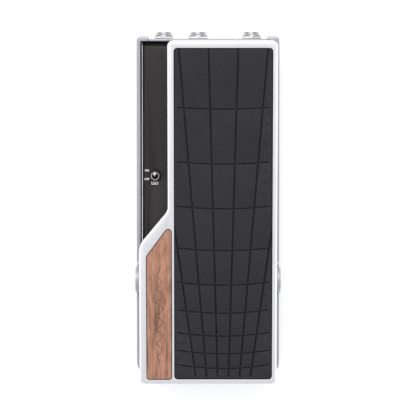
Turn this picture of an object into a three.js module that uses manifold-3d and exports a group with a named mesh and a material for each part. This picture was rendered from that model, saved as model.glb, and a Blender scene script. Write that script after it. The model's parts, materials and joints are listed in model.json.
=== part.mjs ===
// A rocker pedal for guitar, in millimetres. +X is to the right, +Y towards the toe, +Z up.
// The origin is on the floor, at the middle of the object's length and width.

import * as THREE from 'three';
import { mergeVertices } from 'three/addons/utils/BufferGeometryUtils.js';
import Module from 'manifold-3d';

const wasm = await Module();
wasm.setup();

// ---- Driving dimensions ----

const gap = 0.3; // left between pieces that rest on each other
const rad = Math.PI / 180;

// base
const baseHalfWidth = 52;
const cheekWall = 2.7;
const baseHeel = -123.3;
const baseToe = 124.1;
const baseUnderside = 4;
const cheekTopHeel = 27.5;
const cheekTopToe = 40;
const heelCornerRadius = 9;
const heelReturn = 38; // the cheeks turn in at the heel as far as this x
const cornerPostWidth = 8.8;
const toeWallFace = 122.2;
const toeWallThickness = 1.7;
const sheet = 1.5; // folded steel of the housing and the bottom plate

// pivot of the treadle
const pivotY = -53.5;
const pivotZ = 34.5;
const earRadius = 9.5;
const axleRadius = 3;
const runningClearance = 0.08;
const capRadius = 4.6;
const capThickness = 1.2;

// housing
const housingHalfWidth = 47.8;
const housingHeel = -116.5;
const housingToe = toeWallFace - toeWallThickness - gap;
const deckDrop = 3.5; // the deck lies this far below the cheeks' top edge
const deckBend = 5;
const plateUnderside = baseUnderside + gap;
const plateTop = plateUnderside + sheet;
const housingUnderside = plateTop + gap;
const blockSize = 8; // blocks in the housing that the plate's screws turn into
const blockHeight = 7;
const plateScrewX = 42;
const plateScrewY = 95;
const screwShank = 1.5;
const screwHead = 3;
const screwHeadHeight = 1.4;

// treadle, in its own frame: the pivot is the origin and y runs along the tread
const treadleTilt = 7 * rad;
const treadHeel = -73;
const treadToe = 174.5;
const treadTop = 20.5;
const treadPlate = 3;
const skirtDepth = 9;
const skirtWall = 2.6;
const treadLeft = -49.5;
const treadRight = 49.6;
const treadNeck = -28.8; // left edge of the narrow part
const shoulderTop = 53.1;
const shoulderFoot = 27.7;
const treadCorner = 4;
const rimRound = 1.2;
const pocketDepth = 1.6;
const pocketMargin = 0.6; // between a pocket's wall and what lies in it
const rockToeDown = 8 * rad;
const rockHeelDown = 6 * rad;
const lugInner = 41;
const lugThickness = 4;
const lugRadius = 6;
const lugFlange = 7.5; // width of the flange that is screwed to the plate
const lugScrewInset = 3.6;
const bushRadius = 4.3;

// rubber pad and wood inlay, in the treadle's frame
const padLeft = -23.8;
const padRight = 45.6;
const padHeel = -68.9;
const padToe = 168.8;
const padRise = 0.5; // above the rim
const woodLeft = -43.9;
const woodRight = -26.5;
const woodHeel = -69.2;
const woodShoulder = 20.4;
const woodTip = 43.8;

// gears: the sector is centred on the pivot, the pinion is on the pot's shaft
const toothSize = 1; // module
const pinionTeeth = 8;
const sectorTeeth = 104;
const meshAngle = -14 * rad;
const pinionRadius = (pinionTeeth * toothSize) / 2;
const sectorRadius = (sectorTeeth * toothSize) / 2;
const potY = pivotY + (pinionRadius + sectorRadius) * Math.cos(meshAngle);
const potZ = pivotZ + (pinionRadius + sectorRadius) * Math.sin(meshAngle);
const sectorX = 7.5;
const sectorThickness = 3;
const sectorInner = 42;
const slotPastTeeth = 6; // the slot in the deck runs on this far past the sector's pitch circle
const toothTip = 0.9; // from the pitch circle out to the tips
const toothRoot = 1.2; // and in to the roots
const sectorTooth = { root: 0.95, tip: 0.28 }; // half widths of a tooth
const pinionTooth = { root: 0.72, tip: 0.3 };
const shaftRadius = 2;
const potRadius = 7.2;
const potBushing = 3.5;
const flangeY = 44.5; // middle of the sector's screwed flange, in the treadle's frame
const flangeScrew = 4.5;

// jacks and power inlet on the toe wall
const jackPlaces = { first: -32.5, second: -7.2, third: 32 };
const jackZ = 22;
const jackNose = 5.7;
const jackBore = 3.25;
const jackTip = 128.45;
const jackBody = 15.4;
const jackLength = 26;
const jackBoreDepth = 30;
const inletX = 12.5;
const inletNose = 4.2;

// circuit board
const boardHeel = 14;
const boardToe = 116;
const boardHalfWidth = 37.5;
const boardUnderside = 9.5;
const boardTop = 11.1;

// toggle switch on the panel
const toggleX = -38.7;
const toggleY = 22.5;
const bushingRadius = 3.1;
const bushingRise = 2.2;
const leverPivot = -1; // height of the lever's pivot above the deck
const leverLength = 8.5;
const leverLean = 11 * rad;

// ---- Materials ----

function material(color, roughness, metalness) {
  return new THREE.MeshStandardMaterial({ color, roughness, metalness });
}

const castSilver = material(0xc4c4ce, 0.42, 0.9);
const satinSilver = material(0xd6d6dc, 0.38, 0.9);
const darkPaint = material(0x3a3536, 0.45, 0.3);
const treadRubber = material(0x39383d, 0.85, 0);
const blackRubber = material(0x1c1c1e, 0.9, 0);
const walnut = material(0xa8705a, 0.55, 0);
const chrome = material(0xd8dade, 0.15, 1);
const steel = material(0x9a9ca2, 0.35, 1);
const blackPlastic = material(0x18181a, 0.5, 0);
const whiteNylon = material(0xe4e2da, 0.5, 0);
const boardGreen = material(0x1f5a38, 0.5, 0);
const clearPlastic = material(0xe8f0f4, 0.2, 0);
const greyRibbon = material(0x8a8c90, 0.6, 0);

// ---- Solids ----

const alongX = new THREE.Matrix4().makeBasis(
  new THREE.Vector3(0, 1, 0),
  new THREE.Vector3(0, 0, 1),
  new THREE.Vector3(1, 0, 0),
);

// A closed geometry as a solid that can be joined and cut.
function solid(geometry) {
  const bare = geometry.clone();
  bare.deleteAttribute('normal');
  bare.deleteAttribute('uv');
  const merged = mergeVertices(bare, 1e-4);
  const vertProperties = Float32Array.from(merged.attributes.position.array);
  const triVerts = Uint32Array.from(merged.index.array);
  return new wasm.Manifold(new wasm.Mesh({ numProp: 3, vertProperties, triVerts }));
}

// A solid back as a geometry with flat faces.
function geometryOf(body) {
  const mesh = body.getMesh();
  const geometry = new THREE.BufferGeometry();
  geometry.setAttribute('position', new THREE.BufferAttribute(mesh.vertProperties, 3));
  geometry.setIndex(new THREE.BufferAttribute(mesh.triVerts, 1));
  geometry.computeVertexNormals();
  return geometry;
}

function box(x0, x1, y0, y1, z0, z1) {
  const geometry = new THREE.BoxGeometry(x1 - x0, y1 - y0, z1 - z0);
  return solid(geometry.translate((x0 + x1) / 2, (y0 + y1) / 2, (z0 + z1) / 2));
}

// An outline in x and y, from height z0 to z1.
function upright(shape, z0, z1, curveSegments = 5) {
  const options = { depth: z1 - z0, bevelEnabled: false, curveSegments };
  return solid(new THREE.ExtrudeGeometry(shape, options).translate(0, 0, z0));
}

// An outline in y and z, from x0 to x1.
function sideways(shape, x0, x1, curveSegments = 5) {
  const options = { depth: x1 - x0, bevelEnabled: false, curveSegments };
  const geometry = new THREE.ExtrudeGeometry(shape, options).translate(0, 0, x0);
  return solid(geometry.applyMatrix4(alongX));
}

// Round bars along each axis. The first three numbers are the middle of the lower end.
function barX(x, y, z, length, radius, sides = 20) {
  const geometry = new THREE.CylinderGeometry(radius, radius, length, sides);
  return solid(geometry.rotateZ(Math.PI / 2).translate(x + length / 2, y, z));
}

function barY(x, y, z, length, radius, sides = 20) {
  const geometry = new THREE.CylinderGeometry(radius, radius, length, sides);
  return solid(geometry.translate(x, y + length / 2, z));
}

function barZ(x, y, z, length, radius, topRadius = radius, sides = 20) {
  const geometry = new THREE.CylinderGeometry(topRadius, radius, length, sides);
  return solid(geometry.rotateX(Math.PI / 2).translate(x, y, z + length / 2));
}

// Corners [x, y, radius], listed anticlockwise, as a closed outline with rounded corners.
function outlineOf(corners) {
  const shape = new THREE.Shape();
  corners.forEach(([x, y, radius], index) => {
    const [beforeX, beforeY] = corners.at(index - 1);
    const [afterX, afterY] = corners[(index + 1) % corners.length];
    const back = new THREE.Vector2(beforeX - x, beforeY - y).normalize();
    const onward = new THREE.Vector2(afterX - x, afterY - y).normalize();
    const halfAngle = Math.acos(back.dot(onward)) / 2;
    const reach = radius / Math.tan(halfAngle);
    const start = new THREE.Vector2(x, y).addScaledVector(back, reach);
    const end = new THREE.Vector2(x, y).addScaledVector(onward, reach);
    const middle = back.clone().add(onward).setLength(radius / Math.sin(halfAngle));
    const centre = middle.add(new THREE.Vector2(x, y));
    if (index === 0) {
      shape.moveTo(start.x, start.y);
    }
    if (radius === 0) {
      shape.lineTo(x, y);
      return;
    }
    const startAngle = start.sub(centre).angle();
    const endAngle = end.sub(centre).angle();
    shape.absarc(centre.x, centre.y, radius, startAngle, endAngle, back.cross(onward) > 0);
  });
  shape.closePath();
  return shape;
}

// The same corners moved inwards by a distance all round.
function inset(corners, distance) {
  return corners.map(([x, y, radius], index) => {
    const [beforeX, beforeY] = corners.at(index - 1);
    const [afterX, afterY] = corners[(index + 1) % corners.length];
    const arriving = new THREE.Vector2(x - beforeX, y - beforeY).normalize();
    const leaving = new THREE.Vector2(afterX - x, afterY - y).normalize();
    const turn = arriving.cross(leaving);
    const slide = (distance * (1 - arriving.dot(leaving))) / turn;
    const movedX = x - arriving.y * distance - arriving.x * slide;
    const movedY = y + arriving.x * distance - arriving.y * slide;
    const movedRadius = turn > 0 ? Math.max(radius - distance, 0) : radius + distance;
    return [movedX, movedY, radius === 0 ? 0 : movedRadius];
  });
}

// ---- Groups ----

const pedal = new THREE.Group();

const deckTilt = Math.atan((cheekTopToe - cheekTopHeel) / (baseToe - baseHeel));

function cheekTop(y) {
  return cheekTopHeel + (y - baseHeel) * Math.tan(deckTilt);
}

function deckTop(y) {
  return cheekTop(y) - deckDrop;
}

// Things that stand on the deck share its slope; here z is the height above the deck.
const onDeck = new THREE.Group();
onDeck.position.set(0, 0, deckTop(0));
onDeck.rotation.x = deckTilt;
pedal.add(onDeck);

const treadle = new THREE.Group();
treadle.position.set(0, pivotY, pivotZ);
treadle.rotation.x = treadleTilt;
pedal.add(treadle);

const pot = new THREE.Group();
pot.position.set(0, potY, potZ);
pedal.add(pot);

function piece(name, body, look, parent = pedal) {
  const mesh = new THREE.Mesh(geometryOf(body), look);
  mesh.name = name;
  parent.add(mesh);
}

// ---- Base ----

// Side view of a cheek: a low wall that rises towards the toe, with an ear round the axle.
function cheekProfile() {
  const earFoot = earRadius + 5;
  const earAngle = 12 * rad;
  const earX = earRadius * Math.cos(earAngle);
  const earZ = pivotZ + earRadius * Math.sin(earAngle);
  const shape = new THREE.Shape();
  shape.moveTo(baseHeel, baseUnderside);
  shape.lineTo(baseToe, baseUnderside);
  shape.lineTo(baseToe, cheekTopToe - 2);
  shape.quadraticCurveTo(baseToe, cheekTopToe, baseToe - 2, cheekTop(baseToe - 2));
  shape.lineTo(pivotY + earFoot, cheekTop(pivotY + earFoot));
  shape.quadraticCurveTo(pivotY + earX + 1, cheekTop(pivotY + earX), pivotY + earX, earZ);
  shape.absarc(pivotY, pivotZ, earRadius, earAngle, Math.PI - earAngle, false);
  shape.quadraticCurveTo(
    pivotY - earX - 1, cheekTop(pivotY - earX), pivotY - earFoot, cheekTop(pivotY - earFoot),
  );
  shape.lineTo(baseHeel, cheekTopHeel);
  shape.closePath();
  return shape;
}

// Seen from above: a straight wall, a round corner at the heel and a post at the toe.
// This is the left one; the right one is its mirror image.
function cheekPlan() {
  const post = -baseHalfWidth + cornerPostWidth;
  const postInner = housingToe + gap;
  const inner = -baseHalfWidth + cheekWall;
  return outlineOf([
    [-baseHalfWidth, baseHeel, heelCornerRadius],
    [-heelReturn, baseHeel, 0],
    [-heelReturn, baseHeel + cheekWall, 0],
    [inner, baseHeel + cheekWall, heelCornerRadius - cheekWall],
    [inner, postInner, 0],
    [post, postInner, 0],
    [post, baseToe, 1],
    [-baseHalfWidth, baseToe, 3],
  ]);
}

function addCheek(name, side) {
  const bossRise = 0.7;
  const plan = upright(cheekPlan(), 0, pivotZ + earRadius + 5);
  const wall = plan.intersect(sideways(cheekProfile(), -baseHalfWidth - 1, 0, 10));
  const boss = barX(-baseHalfWidth - bossRise, pivotY, pivotZ, cheekWall, earRadius - 0.5, 28);
  const axleHole = barX(-baseHalfWidth - 2, pivotY, pivotZ, 6, axleRadius + runningClearance);
  const capSeat = barX(-baseHalfWidth - 2, pivotY, pivotZ, 3, capRadius + gap);
  const left = wall.add(boss).subtract(axleHole).subtract(capSeat);
  piece(name, side < 0 ? left : left.mirror([1, 0, 0]), castSilver);
}

function addToeWall() {
  const halfWidth = baseHalfWidth - cornerPostWidth - gap;
  const back = toeWallFace - toeWallThickness;
  let wall = box(-halfWidth, halfWidth, back, toeWallFace, baseUnderside, cheekTopToe - 0.5);
  for (const x of Object.values(jackPlaces)) {
    wall = wall.subtract(barY(x, back - 1, jackZ, 5, jackNose + gap));
  }
  wall = wall.subtract(barY(inletX, back - 1, jackZ, 5, inletNose + gap));
  piece('toe_wall', wall, castSilver);
}

function addHeelWall() {
  const halfWidth = heelReturn - gap;
  const wall = box(-halfWidth, halfWidth, baseHeel, baseHeel + cheekWall, baseUnderside, cheekTopHeel);
  piece('heel_wall', wall, castSilver);
}

// Folded steel: four walls and a sloping deck, open underneath.
function housingProfile(offset) {
  const low = housingUnderside - (offset > 0 ? 1 : 0);
  const heel = housingHeel + offset;
  const toe = housingToe - offset;
  return outlineOf([
    [heel, low, 0],
    [toe, low, 0],
    [toe, deckTop(toe) - offset, deckBend - offset],
    [heel, deckTop(heel) - offset, 2 - offset],
  ]);
}

// The four places where a screw holds the bottom plate.
function plateScrewPlaces() {
  return [
    [-plateScrewX, -plateScrewY],
    [plateScrewX, -plateScrewY],
    [-plateScrewX, plateScrewY],
    [plateScrewX, plateScrewY],
  ];
}

function addHousing() {
  const inner = housingHalfWidth - sheet;
  const half = blockSize / 2;
  const outside = sideways(housingProfile(0), -housingHalfWidth, housingHalfWidth);
  let housing = outside.subtract(sideways(housingProfile(sheet), -inner, inner));
  for (const [x, y] of plateScrewPlaces()) {
    const outerX = Math.sign(x) * (inner + sheet / 2);
    const innerX = x - Math.sign(x) * half;
    const [x0, x1] = [Math.min(outerX, innerX), Math.max(outerX, innerX)];
    const block = box(x0, x1, y - half, y + half, housingUnderside, housingUnderside + blockHeight);
    housing = housing.add(block).subtract(barZ(x, y, housingUnderside - 1, 7.5, screwShank + gap / 2));
  }
  const slotHalf = sectorThickness / 2 + 1;
  const slotHeel = pivotY + sectorInner - 2;
  const slotToe = pivotY + sectorRadius + slotPastTeeth;
  const [slotLow, slotHigh] = [deckTop(0) - 8, deckTop(0) + 8];
  housing = housing.subtract(
    box(sectorX - slotHalf, sectorX + slotHalf, slotHeel, slotToe, slotLow, slotHigh),
  );
  for (const x of Object.values(jackPlaces)) {
    housing = housing.subtract(barY(x, housingToe - 5, jackZ, 8, jackNose + gap));
  }
  housing = housing.subtract(barY(inletX, housingToe - 5, jackZ, 8, inletNose + gap));
  const bushingHole = bushingRadius + 2 * gap;
  housing = housing.subtract(barZ(toggleX, toggleY, deckTop(toggleY) - 6, 12, bushingHole));
  piece('housing', housing, darkPaint);
}

function addBottomPlate() {
  const halfWidth = baseHalfWidth - cheekWall - 2 * gap;
  const heel = baseHeel + cheekWall + gap;
  const corners = [
    [-halfWidth, heel, 6],
    [halfWidth, heel, 6],
    [halfWidth, housingToe, 0],
    [-halfWidth, housingToe, 0],
  ];
  let plate = upright(outlineOf(corners), plateUnderside, plateTop);
  plateScrewPlaces().forEach(([x, y], index) => {
    plate = plate.subtract(barZ(x, y, baseUnderside, 3, screwShank + gap / 2));
    const head = barZ(x, y, baseUnderside - screwHeadHeight, screwHeadHeight, screwHead);
    const shank = barZ(x, y, baseUnderside - 0.5, 8, screwShank, screwShank, 12);
    piece(`plate_screw_${index + 1}`, head.add(shank), steel);
  });
  piece('bottom_plate', plate, steel);
}

function addFeet() {
  const [footX, footY] = [38, 109];
  [[-1, -1], [1, -1], [-1, 1], [1, 1]].forEach(([sideX, sideY], index) => {
    const foot = barZ(sideX * footX, sideY * footY, 0, baseUnderside, 7.5, 8);
    piece(`foot_${index + 1}`, foot, blackRubber);
  });
}

function addAxle() {
  const end = baseHalfWidth - 0.9;
  piece('pivot_axle', barX(-end, pivotY, pivotZ, 2 * end, axleRadius), steel);
  for (const [name, side] of [['left', -1], ['right', 1]]) {
    const start = side < 0 ? -end - gap - capThickness : end + gap;
    const cap = barX(start, pivotY, pivotZ, capThickness, capRadius);
    const socketStart = side < 0 ? start - 1 : start + capThickness - 0.6;
    const socket = barX(socketStart, pivotY, pivotZ, 1.6, 1.9, 6);
    piece(`${name}_axle_cap`, cap.subtract(socket), steel);
  }
}

// ---- Jacks, inlet and board ----

function addJack(name, x) {
  const half = jackBody / 2;
  const front = housingToe - sheet - gap;
  const block = box(x - half, x + half, front - jackLength, front, jackZ - half, jackZ + half);
  const nose = barY(x, front - 1, jackZ, jackTip - front + 1, jackNose, 24);
  const bore = barY(x, jackTip - jackBoreDepth, jackZ, jackBoreDepth + 1, jackBore);
  piece(`${name}_jack`, block.add(nose).subtract(bore), blackPlastic);

  const washerFace = toeWallFace + gap;
  const nutFace = washerFace + 0.8 + gap;
  const hole = barY(x, toeWallFace - 1, jackZ, 8, jackNose + gap, 24);
  const washer = barY(x, washerFace, jackZ, 0.8, 7.8, 24);
  const hexagon = barY(x, nutFace, jackZ, 2.8, 8.1, 6);
  const corners = new THREE.CylinderGeometry(7, 8.6, 2.8, 24).translate(x, nutFace + 1.4, jackZ);
  piece(`${name}_jack_washer`, washer.subtract(hole), chrome);
  piece(`${name}_jack_nut`, hexagon.intersect(solid(corners)).subtract(hole), chrome);
}

function addInlet() {
  const front = housingToe - sheet - gap;
  const back = front - 10.5;
  const block = box(inletX - 4.5, inletX + 4.5, back, front, jackZ - 5.5, jackZ + 5.5);
  const nose = barY(inletX, front - 1, jackZ, toeWallFace - front + 0.8, inletNose);
  const bore = barY(inletX, back + 2.5, jackZ, 20, 3.1);
  const pin = barY(inletX, back + 1, jackZ, 12, 1, 12);
  piece('power_inlet', block.add(nose).subtract(bore).add(pin), blackPlastic);
}

function addBoard() {
  const board = box(
    -boardHalfWidth, boardHalfWidth, boardHeel, boardToe, boardUnderside, boardTop,
  );
  piece('circuit_board', board, boardGreen);
  [[-33, 21], [33, 21], [-33, 109], [33, 109]].forEach(([x, y], index) => {
    const height = boardUnderside - plateTop - 2 * gap;
    const post = barZ(x, y, plateTop + gap, height, 2.6, 2.6, 6);
    piece(`board_standoff_${index + 1}`, post, steel);
  });
}

// A flat cable laid along points that share one plane.
function addRibbon(name, points, width) {
  const [halfWide, halfThick] = [width / 2, 0.4];
  const section = new THREE.Shape();
  section.moveTo(-halfWide, -halfThick);
  section.lineTo(halfWide, -halfThick);
  section.lineTo(halfWide, halfThick);
  section.lineTo(-halfWide, halfThick);
  section.closePath();
  const path = new THREE.CatmullRomCurve3(points.map((point) => new THREE.Vector3(...point)));
  const geometry = new THREE.ExtrudeGeometry(section, { steps: 14, extrudePath: path });
  piece(name, solid(geometry), greyRibbon);
}

function addRibbons() {
  const end = boardTop + 0.9;
  const potToe = potY + potRadius + 1;
  const potRun = [[potToe, 19], [potToe + 4, 18.6], [18, 14.5], [23, end + 0.4], [29, end]];
  const switchRun = [[-38.5, 19.5], [-38, 17.5], [-35, end + 1.2], [-31, end + 0.1], [-28, end]];
  addRibbon('pot_ribbon', potRun.map(([y, z]) => [19, y, z]), 7);
  addRibbon('switch_ribbon', switchRun.map(([x, z]) => [x, 22, z]), 5);
}

// ---- Deck ----

function addToggle() {
  const underside = -sheet - 2 * gap;
  const [low, heel, toe] = [underside - 9, toggleY - 6.5, toggleY + 6.5];
  const block = box(toggleX - 4, toggleX + 4, heel, toe, low, underside);
  const bushing = barZ(toggleX, toggleY, underside - 1, bushingRise - underside + 1, bushingRadius);
  const bore = barZ(toggleX, toggleY, leverPivot - 2.5, 10, 2.4);
  piece('toggle_switch', block.add(bushing).subtract(bore), chrome, onDeck);

  const hexagon = barZ(toggleX, toggleY, gap, 1.1, 4.4, 4.4, 6);
  const hole = barZ(toggleX, toggleY, -1, 4, bushingRadius + gap);
  piece('toggle_nut', hexagon.subtract(hole), blackPlastic, onDeck);

  // the lever's own frame has its pivot at the origin
  const leverFrame = new THREE.Group();
  leverFrame.position.set(toggleX, toggleY, leverPivot);
  leverFrame.rotation.x = -leverLean;
  onDeck.add(leverFrame);
  const crown = leverLength - 1;
  const profile = [[0, -1.5], [1, -1.2], [1.1, 0], [1.5, crown], [1.1, crown + 0.8], [0, leverLength]];
  const points = profile.map(([radius, height]) => new THREE.Vector2(radius, height));
  const lever = solid(new THREE.LatheGeometry(points, 16).rotateX(Math.PI / 2));
  piece('toggle_lever', lever, chrome, leverFrame);
}

function addLightBars() {
  for (const [name, x] of [['left', -24], ['right', 44]]) {
    const bar = box(x - 2, x + 2, 19, 99, gap, 2.8);
    piece(`${name}_light_bar`, bar, clearPlastic, onDeck);
  }
}

// Height of the tread plate's underside above the floor, with the treadle at a given slope.
function plateHeight(y, slope) {
  return pivotZ + (treadTop - treadPlate) / Math.cos(slope) + (y - pivotY) * Math.tan(slope);
}

function addBumpers() {
  const stops = [
    ['toe_bumper_left', -18, 105, treadleTilt - rockToeDown],
    ['toe_bumper_right', 38, 105, treadleTilt - rockToeDown],
    ['heel_bumper_left', -36, -107, treadleTilt + rockHeelDown],
    ['heel_bumper_right', 36, -107, treadleTilt + rockHeelDown],
  ];
  for (const [name, x, y, slope] of stops) {
    const height = plateHeight(y, slope) - deckTop(y) - gap - 0.6;
    const shoulder = height - 2.4;
    const profile = [[0, 0], [6, 0], [5.6, shoulder], [4, shoulder + 1.6], [1.6, height - 0.1], [0, height]];
    const points = profile.map(([radius, z]) => new THREE.Vector2(radius, z));
    const bumper = new THREE.LatheGeometry(points, 20).rotateX(Math.PI / 2).translate(x, y, gap);
    piece(name, solid(bumper), blackRubber, onDeck);
  }
}

// ---- Treadle ----

const treadCorners = [
  [treadLeft, treadHeel, treadCorner],
  [treadRight, treadHeel, treadCorner],
  [treadRight, treadToe, treadCorner],
  [treadNeck, treadToe, treadCorner],
  [treadNeck, shoulderTop, 8.5],
  [treadLeft, shoulderFoot, 12.5],
];

const padCorners = [
  [padLeft, padHeel, 2],
  [padRight, padHeel, 2],
  [padRight, padToe, 2],
  [padLeft, padToe, 2],
];

const woodCorners = [
  [woodLeft, woodHeel, 1.5],
  [woodRight, woodHeel, 1.5],
  [woodRight, woodTip, 2],
  [woodLeft, woodShoulder, 4],
];

// Where the screws of the lugs and of the sector's flange enter the plate.
const treadScrews = {
  left_lug_screw: [-lugInner + lugScrewInset, 0],
  right_lug_screw: [lugInner - lugScrewInset, 0],
  sector_screw_left: [sectorX - flangeScrew, flangeY],
  sector_screw_right: [sectorX + flangeScrew, flangeY],
};

function addTreadleFrame() {
  const plateBottom = treadTop - treadPlate;
  const options = {
    depth: skirtDepth - 2 * rimRound,
    bevelThickness: rimRound,
    bevelSize: rimRound,
    bevelOffset: -rimRound,
    bevelSegments: 2,
    curveSegments: 5,
  };
  const slab = new THREE.ExtrudeGeometry(outlineOf(treadCorners), options);
  slab.translate(0, 0, treadTop - skirtDepth + rimRound);
  const hollow = upright(outlineOf(inset(treadCorners, skirtWall)), plateBottom - 10, plateBottom);
  let frame = solid(slab).subtract(hollow);
  for (const corners of [padCorners, woodCorners]) {
    const pocket = outlineOf(inset(corners, -pocketMargin));
    frame = frame.subtract(upright(pocket, treadTop - pocketDepth, treadTop + 2));
  }
  for (const [x, y] of Object.values(treadScrews)) {
    frame = frame.subtract(barZ(x, y, plateBottom - 1, 2, screwShank + gap / 2, screwShank + gap / 2, 12));
  }
  piece('treadle_frame', frame, satinSilver, treadle);
}

function addInlays() {
  const floor = treadTop - pocketDepth + gap;
  piece('tread_pad', upright(outlineOf(padCorners), floor, treadTop + padRise), treadRubber, treadle);
  piece('wood_inlay', upright(outlineOf(woodCorners), floor, treadTop), walnut, treadle);
}

// A screw that holds something of a given thickness to the tread plate from below.
function treadScrew(name, [x, y], thickness) {
  const seat = treadTop - treadPlate - gap - thickness - gap;
  const head = barZ(x, y, seat - screwHeadHeight, screwHeadHeight, screwHead);
  const shank = barZ(x, y, seat - 0.5, thickness + 2 * gap + 1.1, screwShank, screwShank, 12);
  piece(name, head.add(shank), steel, treadle);
}

// A bracket that hangs from the plate: a round eye on the axle and a flange with one screw.
function addLug(name, side) {
  const top = treadTop - treadPlate - gap;
  const flange = 2;
  const cheekX = lugInner + lugThickness;
  const eye = new THREE.Shape();
  eye.moveTo(lugRadius + 3, top);
  eye.lineTo(-lugRadius - 3, top);
  eye.lineTo(-lugRadius, 0);
  eye.absarc(0, 0, lugRadius, Math.PI, 2 * Math.PI, false);
  eye.closePath();
  const plate = sideways(eye, -cheekX, -lugInner, 12);
  const foot = box(-cheekX, -lugInner + lugFlange, -lugRadius - 3, lugRadius + 3, top - flange, top);
  const bore = barX(-cheekX - 1, 0, 0, lugThickness + 2, bushRadius + 0.1);
  const holeX = -lugInner + lugScrewInset;
  const hole = barZ(holeX, 0, top - flange - 1, flange + 2, screwShank + gap / 2);
  const lug = plate.add(foot).subtract(bore).subtract(hole);
  piece(`${name}_hinge_lug`, side < 0 ? lug : lug.mirror([1, 0, 0]), steel, treadle);

  const sleeve = barX(-cheekX - 0.5, 0, 0, lugThickness + 1, bushRadius);
  const collar = barX(-cheekX - 1.3, 0, 0, 1, bushRadius + 1);
  const axleHole = barX(-cheekX - 3, 0, 0, lugThickness + 6, axleRadius + runningClearance);
  const bush = sleeve.add(collar).subtract(axleHole);
  piece(`${name}_bush`, side < 0 ? bush : bush.mirror([1, 0, 0]), whiteNylon, treadle);
}

// ---- Gears ----

// One tooth round the origin, as four points [y, z].
function tooth(pitchRadius, angle, halfWidth) {
  const rootRadius = pitchRadius - toothRoot;
  const tipRadius = pitchRadius + toothTip;
  return [
    [rootRadius, angle - halfWidth.root / rootRadius],
    [tipRadius, angle - halfWidth.tip / tipRadius],
    [tipRadius, angle + halfWidth.tip / tipRadius],
    [rootRadius, angle + halfWidth.root / rootRadius],
  ].map(([radius, turn]) => new THREE.Vector2(radius * Math.cos(turn), radius * Math.sin(turn)));
}

// A toothed arc below the tread, centred on the axle, with a flange screwed to the plate.
function addSectorGear() {
  const step = (2 * Math.PI) / sectorTeeth;
  const middle = meshAngle - treadleTilt;
  const points = [];
  for (let index = -3; index <= 3; index += 1) {
    points.push(...tooth(sectorRadius, middle + (index + 0.5) * step, sectorTooth));
  }
  const top = treadTop - treadPlate - gap;
  const flange = 2.5;
  const rootRadius = sectorRadius - toothRoot;
  const upperAngle = Math.asin((top - flange / 2) / rootRadius);
  const upperInnerAngle = Math.asin((top - flange / 2) / sectorInner);
  const lowerAngle = points[0].angle() - 2 * Math.PI;
  const shape = new THREE.Shape(points);
  shape.absarc(0, 0, rootRadius, points.at(-1).angle() - 2 * Math.PI, upperAngle, false);
  shape.absarc(0, 0, sectorInner, upperInnerAngle, lowerAngle, true);
  shape.closePath();
  const half = sectorThickness / 2;
  const arc = sideways(shape, sectorX - half, sectorX + half, 12);
  const plate = box(sectorX - 8, sectorX + 8, flangeY - 6, flangeY + 6, top - flange, top);
  let sector = arc.add(plate);
  for (const side of [-1, 1]) {
    const x = sectorX + side * flangeScrew;
    sector = sector.subtract(barZ(x, flangeY, top - flange - 1, flange + 2, screwShank + gap / 2));
  }
  piece('sector_gear', sector, steel, treadle);
  treadScrew('sector_screw_left', treadScrews.sector_screw_left, flange);
  treadScrew('sector_screw_right', treadScrews.sector_screw_right, flange);
}

function addPinion() {
  const points = [];
  for (let index = 0; index < pinionTeeth; index += 1) {
    const angle = meshAngle + Math.PI + (index * 2 * Math.PI) / pinionTeeth;
    points.push(...tooth(pinionRadius, angle, pinionTooth));
  }
  const half = sectorThickness / 2 + 0.8;
  const wheel = sideways(new THREE.Shape(points), sectorX - half, sectorX + half);
  const bore = barX(sectorX - 5, 0, 0, 10, shaftRadius + runningClearance);
  piece('pot_pinion', wheel.subtract(bore), whiteNylon, pot);
}

function addPot() {
  const bracketX = 12.5;
  const bodyX = bracketX + sheet + gap;
  const shaftStart = sectorX - sectorThickness / 2 - 1.4;
  const low = housingUnderside - potZ;
  const high = potRadius;
  const body = barX(bodyX, 0, 0, 9, potRadius);
  const bushing = barX(bracketX - 1.9, 0, 0, 4.9, potBushing);
  const bore = barX(bracketX - 4, 0, 0, 10.5, shaftRadius + runningClearance);
  piece('pot_body', body.add(bushing).subtract(bore), steel, pot);

  const hole = barX(bracketX - 5, 0, 0, 10, potBushing + gap);
  const upperLeg = box(bracketX, bracketX + sheet, -8, 8, low, high);
  const lowerLeg = box(bracketX, bracketX + 11, -8, 8, low, low + sheet);
  piece('pot_bracket', upperLeg.add(lowerLeg).subtract(hole), steel, pot);

  const nut = barX(bracketX - gap - 1.4, 0, 0, 1.4, 5.6, 6);
  piece('pot_nut', nut.subtract(hole), steel, pot);
  piece('pot_shaft', barX(shaftStart, 0, 0, 14.5 - shaftStart, shaftRadius), steel, pot);
}

addCheek('left_cheek', -1);
addCheek('right_cheek', 1);
addToeWall();
addHeelWall();
addHousing();
addBottomPlate();
addFeet();
addAxle();
for (const [name, x] of Object.entries(jackPlaces)) {
  addJack(name, x);
}
addInlet();
addBoard();
addRibbons();
addToggle();
addLightBars();
addBumpers();
addTreadleFrame();
addInlays();
for (const [name, side] of [['left', -1], ['right', 1]]) {
  addLug(name, side);
  treadScrew(`${name}_lug_screw`, treadScrews[`${name}_lug_screw`], 2);
}
addSectorGear();
addPinion();
addPot();

export default pedal;
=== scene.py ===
import math
import json

import bpy
from mathutils import Matrix, Vector

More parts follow.
